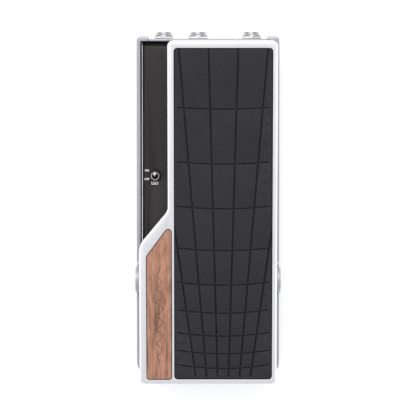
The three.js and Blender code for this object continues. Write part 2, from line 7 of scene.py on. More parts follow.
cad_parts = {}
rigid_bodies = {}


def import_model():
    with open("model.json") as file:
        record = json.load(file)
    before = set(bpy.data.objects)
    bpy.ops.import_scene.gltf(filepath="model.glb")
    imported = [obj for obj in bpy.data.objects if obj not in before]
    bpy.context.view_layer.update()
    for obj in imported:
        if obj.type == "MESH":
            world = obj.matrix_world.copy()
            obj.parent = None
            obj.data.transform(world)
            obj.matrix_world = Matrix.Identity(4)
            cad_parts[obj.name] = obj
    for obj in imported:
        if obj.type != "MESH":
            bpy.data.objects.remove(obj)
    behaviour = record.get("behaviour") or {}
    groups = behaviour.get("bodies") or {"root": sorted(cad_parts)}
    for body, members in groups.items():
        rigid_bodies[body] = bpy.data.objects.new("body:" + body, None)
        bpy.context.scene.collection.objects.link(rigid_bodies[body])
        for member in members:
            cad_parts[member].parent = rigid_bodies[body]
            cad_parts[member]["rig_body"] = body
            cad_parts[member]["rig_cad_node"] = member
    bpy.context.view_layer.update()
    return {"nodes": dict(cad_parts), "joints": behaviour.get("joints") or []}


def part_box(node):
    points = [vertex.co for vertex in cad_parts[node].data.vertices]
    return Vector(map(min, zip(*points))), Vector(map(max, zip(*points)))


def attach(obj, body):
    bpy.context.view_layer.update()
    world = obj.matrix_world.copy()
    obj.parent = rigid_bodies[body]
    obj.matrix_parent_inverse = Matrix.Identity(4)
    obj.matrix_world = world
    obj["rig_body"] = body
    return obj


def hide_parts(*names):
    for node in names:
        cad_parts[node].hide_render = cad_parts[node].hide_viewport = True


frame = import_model()
mm = 0.001

joints = {joint["name"]: joint for joint in frame["joints"]}
print("frame loaded:", len(frame["nodes"]), "parts")


# places that the pieces share, read from the frame

def largestFace(node, up=0.9):
    faces = [face for face in frame["nodes"][node].data.polygons if face.normal.z > up]
    return max(faces, key=lambda face: face.area)


def slopedPlace(origin, up):
    # x stays level, z leaves the surface, y runs up the slope
    across = Vector((1, 0, 0))
    along = up.cross(across).normalized()
    turn = Matrix((across, along, up)).transposed().to_4x4()
    return Matrix.Translation(origin) @ turn


padTop = largestFace("tread_pad")
pivot = Vector(joints["treadle_rock"]["pos_m"])
treadPlace = slopedPlace(pivot, padTop.normal.copy())  # the treadle's own frame

deckTop = largestFace("housing")
deckHeight = deckTop.center.z + deckTop.center.y * deckTop.normal.y / deckTop.normal.z
deckPlace = slopedPlace(Vector((0, 0, deckHeight)), deckTop.normal.copy())


def localBox(node, place):
    back = place.inverted()
    points = [back @ vertex.co for vertex in frame["nodes"][node].data.vertices]
    low = Vector([min(point[axis] for point in points) for axis in range(3)])
    high = Vector([max(point[axis] for point in points) for axis in range(3)])
    return low, high


# camera and light

view = {"height": 1.3, "lens": 150, "aimY": -1 * mm}

bpy.ops.object.camera_add(location=(0, view["aimY"], view["height"]), rotation=(0, 0, 0))
camera = bpy.context.object
camera.name = "camera"
camera.data.lens = view["lens"]
camera.data.sensor_width = 36
camera.data.clip_start = 0.01
camera.data.dof.use_dof = False
bpy.context.scene.camera = camera

lights = {
    "toeSoftbox": {"at": (-0.15, 0.9, 1.0), "turn": (-42, 0, 0), "size": 1.4, "power": 8},
    "leftSoftbox": {"at": (-1.1, -0.1, 0.8), "turn": (0, -55, 0), "size": 1.0, "power": 4.5},
    "rightSoftbox": {"at": (1.1, -0.2, 0.8), "turn": (0, 55, 0), "size": 1.0, "power": 4},
}
for name, lamp in lights.items():
    turn = [math.radians(angle) for angle in lamp["turn"]]
    bpy.ops.object.light_add(type="AREA", location=lamp["at"], rotation=turn)
    softbox = bpy.context.object
    softbox.name = name
    softbox.data.shape = "SQUARE"
    softbox.data.size = lamp["size"]
    softbox.data.energy = lamp["power"]

world = bpy.data.worlds.new("paleRoom")
bpy.context.scene.world = world
world.use_nodes = True
world.node_tree.nodes["Background"].inputs["Color"].default_value = (0.96, 0.97, 1.0, 1)
world.node_tree.nodes["Background"].inputs["Strength"].default_value = 0.72
bpy.context.scene.view_settings.view_transform = "Standard"
print("camera and light placed")


# effects that several finishes share

def newGroup(name, inputs, outputs):
    group = bpy.data.node_groups.new(name, "ShaderNodeTree")
    for label, kind, value in inputs:
        socket = group.interface.new_socket(name=label, in_out="INPUT", socket_type=kind)
        if value is not None:
            socket.default_value = value
    for label, kind in outputs:
        group.interface.new_socket(name=label, in_out="OUTPUT", socket_type=kind)
    start = group.nodes.new("NodeGroupInput")
    end = group.nodes.new("NodeGroupOutput")
    return group, start, end


def addNode(tree, kind, **settings):
    node = tree.nodes.new("ShaderNode" + kind)
    for label, value in settings.items():
        setattr(node, label, value)
    return node


def mathNode(tree, operation, first, second):
    node = addNode(tree, "Math", operation=operation)
    for socket, value in zip(node.inputs, (first, second)):
        if isinstance(value, (int, float)):
            socket.default_value = value
        else:
            tree.links.new(value, socket)
    return node.outputs[0]


def noiseNode(tree, vector, scale, detail=3, roughness=0.55):
    node = addNode(tree, "TexNoise")
    node.inputs["Detail"].default_value = detail
    node.inputs["Roughness"].default_value = roughness
    if isinstance(scale, (int, float)):
        node.inputs["Scale"].default_value = scale
    else:
        tree.links.new(scale, node.inputs["Scale"])
    tree.links.new(vector, node.inputs["Vector"])
    return node.outputs["Fac"]


def rangeNode(tree, value, low, high, toLow=0.0, toHigh=1.0):
    node = addNode(tree, "MapRange")
    tree.links.new(value, node.inputs["Value"])
    for label, number in (("From Min", low), ("From Max", high), ("To Min", toLow), ("To Max", toHigh)):
        node.inputs[label].default_value = number
    return node.outputs["Result"]


def grainGroup():
    # fine speckle: a mask for colour and a height for bump
    group, start, end = newGroup(
        "fineGrain",
        [
            ("Vector", "NodeSocketVector", None),
            ("Scale", "NodeSocketFloat", 900.0),
            ("Cloud Scale", "NodeSocketFloat", 40.0),
        ],
        [("Mask", "NodeSocketFloat"), ("Cloud", "NodeSocketFloat"), ("Height", "NodeSocketFloat")],
    )
    speckle = noiseNode(group, start.outputs["Vector"], start.outputs["Scale"], 2, 0.6)
    cloud = noiseNode(group, start.outputs["Vector"], start.outputs["Cloud Scale"], 4, 0.6)
    group.links.new(rangeNode(group, speckle, 0.38, 0.62), end.inputs["Mask"])
    group.links.new(rangeNode(group, cloud, 0.3, 0.7), end.inputs["Cloud"])
    group.links.new(speckle, end.inputs["Height"])
    return group


def wearGroup():
    # worn edges: convex edges, broken up by noise
    group, start, end = newGroup(
        "edgeWear",
        [("Vector", "NodeSocketVector", None), ("Amount", "NodeSocketFloat", 0.5)],
        [("Mask", "NodeSocketFloat")],
    )
    edge = addNode(group, "NewGeometry").outputs["Pointiness"]
    raised = rangeNode(group, edge, 0.56, 0.68)
    patchy = rangeNode(group, noiseNode(group, start.outputs["Vector"], 260.0, 4), 0.42, 0.6)
    worn = mathNode(group, "MULTIPLY", raised, patchy)
    group.links.new(mathNode(group, "MULTIPLY", worn, start.outputs["Amount"]), end.inputs["Mask"])
    return group


def dustGroup():
    # dust that settles on what faces up
    group, start, end = newGroup(
        "dust",
        [("Vector", "NodeSocketVector", None), ("Amount", "NodeSocketFloat", 0.2)],
        [("Mask", "NodeSocketFloat")],
    )
    facing = addNode(group, "SeparateXYZ")
    group.links.new(addNode(group, "NewGeometry").outputs["Normal"], facing.inputs[0])
    upward = rangeNode(group, facing.outputs["Z"], 0.4, 1.0)
    specks = rangeNode(group, noiseNode(group, start.outputs["Vector"], 1400.0, 2), 0.6, 0.78)
    drift = rangeNode(group, noiseNode(group, start.outputs["Vector"], 30.0, 4), 0.35, 0.75)
    both = mathNode(group, "MULTIPLY", mathNode(group, "ADD", specks, drift), upward)
    group.links.new(mathNode(group, "MULTIPLY", both, start.outputs["Amount"]), end.inputs["Mask"])
    return group


fineGrain = grainGroup()
edgeWear = wearGroup()
dust = dustGroup()


def placeGroup(tree, group, vector, **values):
    node = tree.nodes.new("ShaderNodeGroup")
    node.node_tree = group
    tree.links.new(vector, node.inputs["Vector"])
    for label, value in values.items():
        node.inputs[label.replace("_", " ")].default_value = value
    return node


def blendColours(tree, amount, first, second):
    node = addNode(tree, "Mix", data_type="RGBA")
    tree.links.new(amount, node.inputs[0])
    for socket, value in ((node.inputs[6], first), (node.inputs[7], second)):
        if isinstance(value, tuple):
            socket.default_value = (*value, 1)
        else:
            tree.links.new(value, socket)
    return node.outputs[2]


def stretchedCoords(tree, stretch=(1, 1, 1), turn=(0, 0, 0)):
    coords = addNode(tree, "TexCoord")
    mapping = addNode(tree, "Mapping")
    mapping.inputs["Scale"].default_value = stretch
    mapping.inputs["Rotation"].default_value = turn
    tree.links.new(coords.outputs["Object"], mapping.inputs["Vector"])
    return mapping.outputs["Vector"]


def newFinish(name):
    material = bpy.data.materials.new(name)
    material.use_nodes = True
    return material, material.node_tree, material.node_tree.nodes["Principled BSDF"]


def bumpInto(tree, shader, height, strength, distance):
    bump = addNode(tree, "Bump")
    bump.inputs["Strength"].default_value = strength
    bump.inputs["Distance"].default_value = distance
    tree.links.new(height, bump.inputs["Height"])
    tree.links.new(bump.outputs["Normal"], shader.inputs["Normal"])


def makeFinish(name, look):
    # the common build of a metal, paint, rubber or plastic finish
    material, tree, shader = newFinish(name)
    vector = stretchedCoords(tree, look.get("stretch", (1, 1, 1)))
    grain = placeGroup(tree, fineGrain, vector, Scale=look["grain"], Cloud_Scale=look.get("cloud", 40.0))
    wear = placeGroup(tree, edgeWear, vector, Amount=look.get("wear", 0.3))
    settled = placeGroup(tree, dust, vector, Amount=look.get("dust", 0.1))
    colour = blendColours(tree, grain.outputs["Mask"], look["dark"], look["light"])
    colour = blendColours(tree, wear.outputs["Mask"], colour, look.get("worn", look["light"]))
    colour = blendColours(tree, settled.outputs["Mask"], colour, (0.42, 0.41, 0.4))
    tree.links.new(colour, shader.inputs["Base Color"])
    smooth, rough = look["roughness"]
    cloudy = rangeNode(tree, grain.outputs["Cloud"], 0, 1, smooth, rough)
    tree.links.new(mathNode(tree, "ADD", cloudy, settled.outputs["Mask"]), shader.inputs["Roughness"])
    shader.inputs["Metallic"].default_value = look.get("metallic", 0)
    shader.inputs["Specular IOR Level"].default_value = look.get("gloss", 0.5)
    shader.inputs["Coat Weight"].default_value = look.get("coat", 0)
    shader.inputs["Coat Roughness"].default_value = look.get("coatRoughness", 0.2)
    bumpInto(tree, shader, grain.outputs["Height"], look.get("bump", 0.1), look.get("bumpDepth", 0.05) * mm)
    return material


finishLooks = {
    "satinSilver": {
        "dark": (0.74, 0.74, 0.76), "light": (0.92, 0.92, 0.93), "metallic": 0.75,
        "roughness": (0.34, 0.42), "grain": 2600, "bump": 0.35, "bumpDepth": 0.03, "wear": 0.3,
        "dust": 0.0, "worn": (0.9, 0.9, 0.9),
    },
    "castSilver": {
        "dark": (0.48, 0.47, 0.495), "light": (0.53, 0.52, 0.55), "metallic": 0.8,
        "roughness": (0.38, 0.43), "grain": 2400, "bump": 0.25, "bumpDepth": 0.03, "wear": 0.1,
        "dust": 0.005, "worn": (0.85, 0.85, 0.87),
    },
    "darkPaint": {
        "dark": (0.0125, 0.0085, 0.0095), "light": (0.0175, 0.0125, 0.0138), "metallic": 0,
        "roughness": (0.4, 0.48), "grain": 1400, "cloud": 40, "stretch": (1, 0.12, 1), "bump": 0.06,
        "bumpDepth": 0.02, "wear": 0.1, "gloss": 0.42, "coat": 0.12, "coatRoughness": 0.25,
        "dust": 0.003, "worn": (0.2, 0.19, 0.19),
    },
    "treadRubber": {
        "dark": (0.0135, 0.0128, 0.0165), "light": (0.025, 0.0238, 0.03), "roughness": (0.62, 0.78),
        "grain": 1500, "cloud": 25, "bump": 0.5, "bumpDepth": 0.05, "wear": 0.25, "gloss": 0.3,
        "dust": 0.004, "worn": (0.07, 0.07, 0.075),
    },
    "blackRubber": {
        "dark": (0.008, 0.008, 0.009), "light": (0.02, 0.02, 0.021), "roughness": (0.6, 0.8),
        "grain": 1200, "bump": 0.4, "bumpDepth": 0.05, "wear": 0.3, "gloss": 0.4, "dust": 0.05,
        "worn": (0.06, 0.06, 0.06),
    },
    "chrome": {
        "dark": (0.5, 0.49, 0.49), "light": (0.66, 0.65, 0.65), "metallic": 1, "roughness": (0.1, 0.18),
        "grain": 700, "bump": 0.05, "bumpDepth": 0.01, "wear": 0.2, "dust": 0.02,
    },
    "steel": {
        "dark": (0.32, 0.33, 0.35), "light": (0.5, 0.51, 0.53), "metallic": 1,
        "roughness": (0.28, 0.42), "grain": 1100, "stretch": (1, 0.05, 1), "bump": 0.15,
        "bumpDepth": 0.02, "wear": 0.4, "dust": 0.05,
    },
    "zincPlate": {
        "dark": (0.42, 0.42, 0.41), "light": (0.47, 0.47, 0.455), "metallic": 1,
        "roughness": (0.4, 0.46), "grain": 2200, "cloud": 30, "bump": 0.08, "bumpDepth": 0.01,
        "wear": 0.2, "dust": 0.02,
    },
    "blackPlastic": {
        "dark": (0.010, 0.010, 0.011), "light": (0.022, 0.022, 0.023), "roughness": (0.38, 0.5),
        "grain": 1300, "bump": 0.25, "bumpDepth": 0.03, "wear": 0.3, "gloss": 0.4, "dust": 0.03,
    },
    "nylon": {
        "dark": (0.6, 0.58, 0.52), "light": (0.74, 0.72, 0.66), "roughness": (0.4, 0.5), "grain": 800,
        "bump": 0.1, "bumpDepth": 0.02, "wear": 0.1, "dust": 0.05,
    },
    "whitePrint": {
        "dark": (0.9, 0.9, 0.92), "light": (0.97, 0.97, 0.98), "roughness": (0.4, 0.5), "grain": 3000,
        "bump": 0.1, "bumpDepth": 0.01, "wear": 0, "dust": 0,
    },
    "burntLine": {
        "dark": (0.035, 0.016, 0.01), "light": (0.07, 0.03, 0.018), "roughness": (0.5, 0.7),
        "grain": 2200, "bump": 0.3, "bumpDepth": 0.03, "wear": 0, "dust": 0,
    },
    "brass": {
        "dark": (0.55, 0.38, 0.14), "light": (0.72, 0.52, 0.22), "metallic": 1,
        "roughness": (0.22, 0.35), "grain": 900, "bump": 0.1, "bumpDepth": 0.01, "wear": 0.2,
        "dust": 0.04,
    },
    "solder": {
        "dark": (0.5, 0.5, 0.52), "light": (0.7, 0.7, 0.72), "metallic": 1, "roughness": (0.2, 0.3),
        "grain": 900, "bump": 0.2, "bumpDepth": 0.02, "wear": 0, "dust": 0.02,
    },
    "paleFloor": {
        "dark": (0.94, 0.94, 0.94), "light": (0.97, 0.97, 0.97), "roughness": (0.6, 0.7), "grain": 300,
        "bump": 0.05, "bumpDepth": 0.02, "wear": 0, "dust": 0, "gloss": 0.2,
    },
}
finishes = {name: makeFinish(name, look) for name, look in finishLooks.items()}
print("shared finishes made")


# finishes that need more than the common build

woodLook = {"pale": (0.50, 0.25, 0.16), "middle": (0.27, 0.118, 0.07), "streak": (0.13, 0.052, 0.028)}


def makeWalnut():
    material, tree, shader = newFinish("walnut")
    along = stretchedCoords(tree, (1, 0.045, 1))
    figure = noiseNode(tree, along, 520.0, 6, 0.68)
    broad = noiseNode(tree, stretchedCoords(tree, (1, 0.07, 1)), 230.0, 3, 0.55)
    pores = noiseNode(tree, stretchedCoords(tree, (1, 0.08, 1)), 2100.0, 2, 0.5)
    colour = blendColours(tree, rangeNode(tree, figure, 0.38, 0.64), woodLook["pale"], woodLook["middle"])
    colour = blendColours(tree, rangeNode(tree, broad, 0.54, 0.7, 0.0, 0.8), colour, woodLook["streak"])
    poreMask = rangeNode(tree, pores, 0.62, 0.74, 0.0, 0.55)
    colour = blendColours(tree, poreMask, colour, woodLook["streak"])
    tree.links.new(colour, shader.inputs["Base Color"])
    tree.links.new(rangeNode(tree, figure, 0.3, 0.7, 0.36, 0.5), shader.inputs["Roughness"])
    shader.inputs["Coat Weight"].default_value = 0.15
    shader.inputs["Coat Roughness"].default_value = 0.3
    height = mathNode(tree, "SUBTRACT", mathNode(tree, "MULTIPLY", figure, 0.4), poreMask)
    bumpInto(tree, shader, height, 0.25, 0.05 * mm)
    return material


def makeClearPlastic():
    material, tree, shader = newFinish("clearPlastic")
    grain = placeGroup(tree, fineGrain, stretchedCoords(tree), Scale=500.0, Cloud_Scale=60.0)
    colour = blendColours(tree, grain.outputs["Cloud"], (0.78, 0.84, 0.88), (0.9, 0.94, 0.96))
    tree.links.new(colour, shader.inputs["Base Color"])
    tree.links.new(rangeNode(tree, grain.outputs["Cloud"], 0, 1, 0.16, 0.3), shader.inputs["Roughness"])
    shader.inputs["Transmission Weight"].default_value = 0.7
    shader.inputs["IOR"].default_value = 1.49
    bumpInto(tree, shader, grain.outputs["Height"], 0.1, 0.02 * mm)
    return material


def makeBoardFinish():
    # solder mask over copper tracks that show as slightly raised, paler lines
    material, tree, shader = newFinish("board")
    vector = stretchedCoords(tree)
    tracks = addNode(tree, "TexVoronoi", feature="DISTANCE_TO_EDGE", distance="MANHATTAN")
    tracks.inputs["Scale"].default_value = 170.0
    tree.links.new(vector, tracks.inputs["Vector"])
    track = rangeNode(tree, tracks.outputs["Distance"], 0.03, 0.06, 1.0, 0.0)
    grain = placeGroup(tree, fineGrain, vector, Scale=1500.0, Cloud_Scale=50.0)
    colour = blendColours(tree, grain.outputs["Cloud"], (0.008, 0.07, 0.028), (0.014, 0.1, 0.04))
    colour = blendColours(tree, track, colour, (0.03, 0.2, 0.08))
    tree.links.new(colour, shader.inputs["Base Color"])
    tree.links.new(rangeNode(tree, grain.outputs["Cloud"], 0, 1, 0.28, 0.4), shader.inputs["Roughness"])
    bumpInto(tree, shader, track, 0.4, 0.04 * mm)
    return material


finishLooks["ribbon"] = {"dark": (0.2, 0.21, 0.225), "light": (0.3, 0.31, 0.33), "roughness": (0.4, 0.52),
                         "grain": 900, "bump": 0.15, "bumpDepth": 0.02, "wear": 0.1, "dust": 0.04}
finishLooks["ledChip"] = {"dark": (0.7, 0.62, 0.2), "light": (0.85, 0.78, 0.4), "roughness": (0.2, 0.3),
                          "grain": 900, "bump": 0.1, "bumpDepth": 0.01, "wear": 0, "dust": 0}
for name in ("ribbon", "ledChip"):
    finishes[name] = makeFinish(name, finishLooks[name])
finishes["walnut"] = makeWalnut()
finishes["clearPlastic"] = makeClearPlastic()
finishes["board"] = makeBoardFinish()
print("all finishes made:", len(finishes))


# modelling steps that the pieces share

def pickNothing():
    if bpy.context.mode != "OBJECT":
        bpy.ops.object.mode_set(mode="OBJECT")
    bpy.ops.object.select_all(action="DESELECT")


def pick(*pieces):
    pickNothing()
    for piece in pieces:
        piece.select_set(True)
    bpy.context.view_layer.objects.active = pieces[0]


def selectFaces(piece, test):
    pick(piece)
    bpy.ops.object.mode_set(mode="EDIT")
    bpy.ops.mesh.select_mode(type="FACE")
    bpy.ops.mesh.select_all(action="DESELECT")
    bpy.ops.object.mode_set(mode="OBJECT")
    for face in piece.data.polygons:
        face.select = test(face)
    bpy.ops.object.mode_set(mode="EDIT")


def selectEdges(piece, test):
    # the test is given the places of an edge's two ends
    pick(piece)
    bpy.ops.object.mode_set(mode="EDIT")
    bpy.ops.mesh.select_mode(type="EDGE")
    bpy.ops.mesh.select_all(action="DESELECT")
    bpy.ops.object.mode_set(mode="OBJECT")
    points = piece.data.vertices
    for edge in piece.data.edges:
        first, last = edge.vertices
        edge.select = test(points[first].co, points[last].co)
    bpy.ops.object.mode_set(mode="EDIT")


def applyModifier(piece, kind, **settings):
    pick(piece)
    modifier = piece.modifiers.new(kind.lower(), kind)
    for label, value in settings.items():
        setattr(modifier, label, value)
    bpy.ops.object.modifier_apply(modifier=modifier.name)


def roundEdges(piece, width, segments=2, angle=35):
    applyModifier(piece, "BEVEL", width=width * mm, segments=segments, limit_method="ANGLE",
                  angle_limit=math.radians(angle))
    pick(piece)
    bpy.ops.object.shade_smooth_by_angle(angle=math.radians(angle))


def settle(piece, place=None):
    # the place goes into the mesh, and the object stays at the origin
    bpy.context.view_layer.update()
    if place:
        piece.matrix_world = place @ piece.matrix_world
    pick(piece)
    bpy.ops.object.transform_apply(location=True, rotation=True, scale=True)


def joinAll(name, parts):
    pick(*parts)
    if len(parts) > 1:
        bpy.ops.object.join()
    piece = bpy.context.object
    piece.name = name
    return piece


def cutAway(piece, cutter):
    applyModifier(piece, "BOOLEAN", operation="DIFFERENCE", solver="EXACT", object=cutter)
    bpy.data.objects.remove(cutter)


def cleanMesh(piece, flat=0.4):
    pick(piece)
    bpy.ops.object.mode_set(mode="EDIT")
    bpy.ops.mesh.select_all(action="SELECT")
    bpy.ops.mesh.remove_doubles(threshold=0.002 * mm)
    bpy.ops.mesh.dissolve_limited(angle_limit=math.radians(flat))
    bpy.ops.mesh.normals_make_consistent(inside=False)
    bpy.ops.object.mode_set(mode="OBJECT")


def camelName(node):
    first, *rest = node.split("_")
    return first + "".join(word.capitalize() for word in rest)


def copyNode(node):
    pick(frame["nodes"][node])
    bpy.ops.object.duplicate()
    piece = bpy.context.object
    piece.name = camelName(node)
    piece.parent = None
    piece.matrix_world = Matrix.Identity(4)
    del piece["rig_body"]
    del piece["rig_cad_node"]
    bpy.ops.mesh.customdata_custom_splitnormals_clear()
    cleanMesh(piece)
    return piece


def paint(piece, look):
    piece.data.materials.clear()
    piece.data.materials.append(finishes[look])


def dress(piece, look, node):
    # the piece stands for a CAD node
    paint(piece, look)
    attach(piece, frame["nodes"][node]["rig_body"])
    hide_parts(node)
    return piece


def addTo(piece, look, node):
    # the piece is a detail on a CAD node, and moves with it
    paint(piece, look)
    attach(piece, frame["nodes"][node]["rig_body"])
    return piece


def cubeAt(centre, size, place=None):
    pickNothing()
    bpy.ops.mesh.primitive_cube_add(size=1, location=[value * mm for value in centre])
    piece = bpy.context.object
    piece.scale = [value * mm for value in size]
    settle(piece, place)
    return piece


def barAt(centre, radius, length, axis="Z", sides=32, place=None):
    turn = {"X": (0, math.pi / 2, 0), "Y": (math.pi / 2, 0, 0), "Z": (0, 0, 0)}[axis]
    pickNothing()
    bpy.ops.mesh.primitive_cylinder_add(vertices=sides, radius=radius * mm, depth=length * mm,
                                        location=[value * mm for value in centre], rotation=turn)
    piece = bpy.context.object
    settle(piece, place)
    return piece


# castings, sheet metal, gears and trim: the CAD shape with its real edges

roundings = {  # look, edge radius in mm
    "left_cheek": ("castSilver", 0.4), "right_cheek": ("castSilver", 0.4),
    "toe_wall": ("castSilver", 0.25), "heel_wall": ("castSilver", 0.3),
    "bottom_plate": ("zincPlate", 0.2), "pivot_axle": ("steel", 0.3),
    "left_axle_cap": ("steel", 0.2), "right_axle_cap": ("steel", 0.2),
    "first_jack_washer": ("chrome", 0.12), "second_jack_washer": ("chrome", 0.12),
    "third_jack_washer": ("chrome", 0.12), "first_jack_nut": ("chrome", 0.18),
    "second_jack_nut": ("chrome", 0.18), "third_jack_nut": ("chrome", 0.18),
    "power_inlet": ("blackPlastic", 0.15), "toggle_nut": ("blackPlastic", 0.15),
    "toggle_switch": ("chrome", 0.12),
    "board_standoff_1": ("steel", 0.2), "board_standoff_2": ("steel", 0.2),
    "board_standoff_3": ("steel", 0.2), "board_standoff_4": ("steel", 0.2),
    "pot_ribbon": ("ribbon", 0.1), "switch_ribbon": ("ribbon", 0.1),
    "pot_body": ("zincPlate", 0.3), "pot_bracket": ("steel", 0.2), "pot_nut": ("zincPlate", 0.2),
    "pot_pinion": ("nylon", 0.08), "pot_shaft": ("steel", 0.3),
    "left_hinge_lug": ("zincPlate", 0.25), "right_hinge_lug": ("zincPlate", 0.25),
    "left_bush": ("nylon", 0.15), "right_bush": ("nylon", 0.15),
    "sector_gear": ("steel", 0.1), "toggle_lever": ("chrome", 0.3),
    "toe_bumper_left": ("blackRubber", 0.5), "toe_bumper_right": ("blackRubber", 0.5),
    "heel_bumper_left": ("blackRubber", 0.5), "heel_bumper_right": ("blackRubber", 0.5),
    "treadle_frame": ("satinSilver", 0.25),
}
trimmed = {}
for node, (look, width) in roundings.items():
    piece = copyNode(node)
    roundEdges(piece, width, 3)
    dress(piece, look, node)
    trimmed[node] = piece
print("castings, plates and trim finished:", len(roundings))


# painted shade: the pockets under the pad and the inlay, and the inside of the toggle's bushing, get the
# black plastic finish to stand in for the shade in these recesses

def paintShadeWhere(piece, place, test):
    # the black plastic finish goes on the chosen faces as painted shade
    piece.data.materials.append(finishes["blackPlastic"])
    back = place.inverted()
    for face in piece.data.polygons:
        if test(back @ face.center, back.to_3x3() @ face.normal):
            face.material_index = len(piece.data.materials) - 1


seatShape = {"margin": 0.8, "underPad": 0.6, "underWood": 0.3}
bushingShape = {"wall": 2.7, "bore": 2.3}

padLow, padHigh = localBox("tread_pad", treadPlace)
woodLow, woodHigh = localBox("wood_inlay", treadPlace)


# the walls and floors of the pockets around the pad and the inlay: painted shade
def inSeat(point, normal):
    margin = seatShape["margin"] * mm
    lowest = padLow.z - seatShape["underPad"] * mm
    below = lowest < point.z < woodHigh.z - seatShape["underWood"] * mm
    inside = [all(low[axis] - margin < point[axis] < high[axis] + margin for axis in (0, 1))
              for low, high in ((padLow, padHigh), (woodLow, woodHigh))]
    return below and any(inside)


# the inner wall and the bottom of the bushing's bore: painted shade
def inBushing(point, normal):
    low, high = localBox("toggle_nut", deckPlace)
    middle = (low + high) / 2
    away = Vector((point.x - middle.x, point.y - middle.y))
    facesIn = away.dot(Vector((normal.x, normal.y))) <= 0 and abs(normal.z) < 0.5
    onWall = away.length < bushingShape["wall"] * mm and facesIn
    inBore = away.length < bushingShape["bore"] * mm and point.z < 0
    return onWall or inBore


paintShadeWhere(trimmed["treadle_frame"], treadPlace, inSeat)
paintShadeWhere(trimmed["toggle_switch"], deckPlace, inBushing)
print("dark seats marked")


# housing: the long top edges are folded round, the rest is just broken

housingShape = {"fold": 2.2, "edge": 0.15, "merge": 0.016, "atSide": 0.01, "shortest": 0.2}


def makeHousing():
    housing = copyNode("housing")
    housing.name = "housingShell"
    low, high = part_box("housing")

    def isLongFold(first, last):
        bothAtSide = all(abs(abs(end.x) - high.x) < housingShape["atSide"] * mm for end in (first, last))
        onTop = min(first.z, last.z) > low.z + 0.5 * (high.z - low.z)
        return bothAtSide and onTop and abs(first.y - last.y) > housingShape["shortest"] * mm

    selectEdges(housing, isLongFold)
    bpy.ops.mesh.bevel(offset=housingShape["fold"] * mm, segments=5)
    bpy.ops.object.mode_set(mode="OBJECT")
    roundEdges(housing, housingShape["edge"], 2)
    bpy.ops.object.mode_set(mode="EDIT")
    bpy.ops.mesh.select_all(action="SELECT")
    bpy.ops.mesh.remove_doubles(threshold=housingShape["merge"] * mm)  # slivers where the folds end
    bpy.ops.object.mode_set(mode="OBJECT")
    dress(housing, "darkPaint", "housing")


makeHousing()
print("housing finished")


# screws: a rounded head with a cross recess

screwLook = {"edge": 0.3, "recessLength": 3.2, "recessWidth": 0.8, "recessDepth": 0.9}


def recessScrew(node, place):
    # the head's outer face is at the low end of the place's z
    screw = copyNode(node)
    roundEdges(screw, screwLook["edge"], 3)
    low = min((place.inverted() @ vertex.co).z for vertex in screw.data.vertices) / mm
    points = screw.data.vertices
    centre = place.inverted() @ (sum((point.co for point in points), Vector()) / len(points))
    middle = (centre.x / mm, centre.y / mm, low)
    depth = 2 * screwLook["recessDepth"]
    across = cubeAt(middle, (screwLook["recessLength"], screwLook["recessWidth"], depth), place)
    down = cubeAt(middle, (screwLook["recessWidth"], screwLook["recessLength"], depth), place)
    cutAway(screw, across)
    cutAway(screw, down)
    pick(screw)
    bpy.ops.object.shade_smooth_by_angle(angle=math.radians(35))
    dress(screw, "zincPlate", node)


for number in range(1, 5):
    recessScrew(f"plate_screw_{number}", Matrix.Identity(4))
for node in ("left_lug_screw", "right_lug_screw", "sector_screw_left", "sector_screw_right"):
    recessScrew(node, treadPlace)
print("screws finished")


# feet: a round rubber foot with a dished sole

footShape = {"edge": 0.8, "rim": 1.6, "dish": 0.7}


def makeFoot(node):
    foot = copyNode(node)
    selectFaces(foot, lambda face: face.normal.z < -0.9)
    bpy.ops.mesh.inset(thickness=footShape["rim"] * mm)
    bpy.ops.mesh.extrude_region_move(TRANSFORM_OT_translate={"value": (0, 0, footShape["dish"] * mm)})
    bpy.ops.object.mode_set(mode="OBJECT")
    cleanMesh(foot, 0.2)
    roundEdges(foot, footShape["edge"] / 2, 3)
    dress(foot, "blackRubber", node)


for number in range(1, 5):
    makeFoot(f"foot_{number}")
print("feet finished")


# jacks: black body, a chrome threaded nose and a brass contact in the bore

jackShape = {
    "edge": 0.2, "noseRadius": 5.7, "noseMargin": 0.3, "boreRadius": 3.4, "noseReach": 3,
    "threads": 4, "firstThread": 0.35, "pitch": 0.5, "ridge": 0.16, "ridgeSunk": 0.05,
}
contactShape = {
    "length": 9, "width": 2.2, "thickness": 0.35, "behindTip": 14, "rise": 2.9, "edge": 0.08,
    "bends": ((2.5, -0.7), (2.0, 0.6)),  # forwards and up
}


